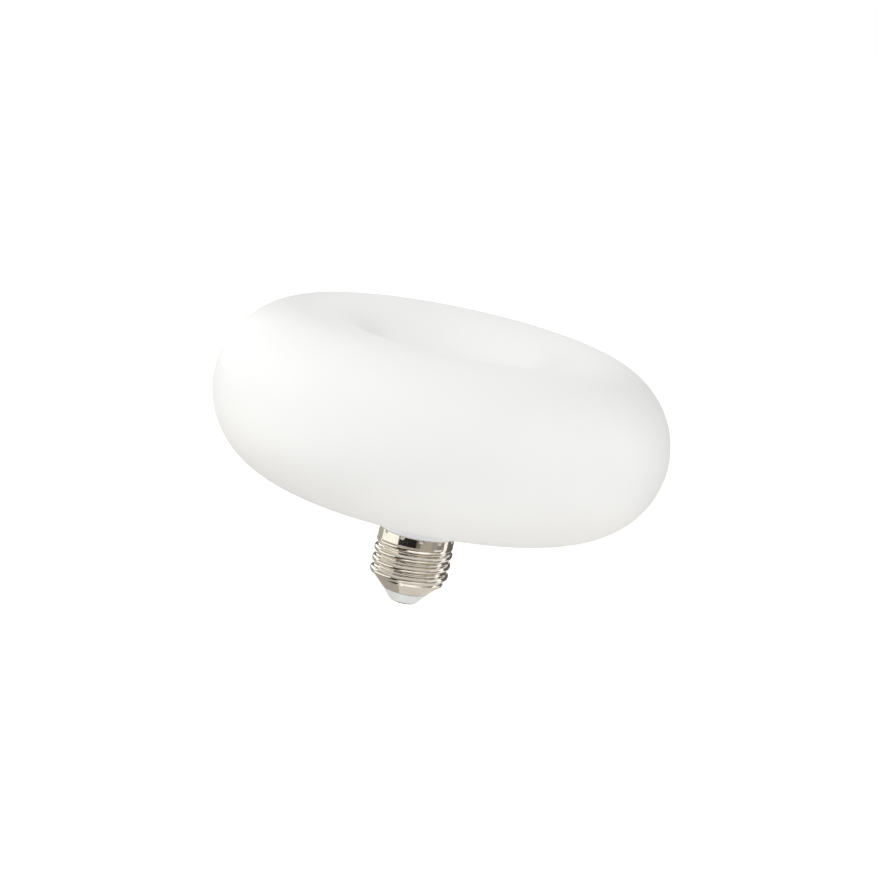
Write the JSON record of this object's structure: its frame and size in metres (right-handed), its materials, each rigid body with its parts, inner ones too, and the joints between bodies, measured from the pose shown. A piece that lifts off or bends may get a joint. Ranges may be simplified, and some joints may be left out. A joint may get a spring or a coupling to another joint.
{
  "type": "donut-shaped led bulb",
  "caption": "Ring-shaped opal lamp with a closed dimple in its middle, on a short white neck and a rolled metal screw cap with an insulating nose and a centre contact.",
  "frame": {"origin": "middle of the centre contact's flat face, at the bottom of the screw cap", "axes": "+Z along the lamp's axis, from the cap towards the ring; the lamp is round, and X is only a direction from which the thread and the crimps are counted"},
  "size_m": [0.1519, 0.152, 0.0926],
  "materials": {
    "opal_diffuser": "satin opal white, lit by nothing inside",
    "white_housing": "smooth moulded white",
    "plated_shell": "bright nickel plate on thin rolled sheet",
    "insulator": "smooth pale insulator",
    "contact_metal": "dull plated disc"
  },
  "bodies": {
    "root": {"diffuser": "opal_diffuser", "neck_housing": "white_housing", "screw_shell": "plated_shell", "base_insulator": "insulator", "centre_contact": "contact_metal"}
  },
  "joints": []
}
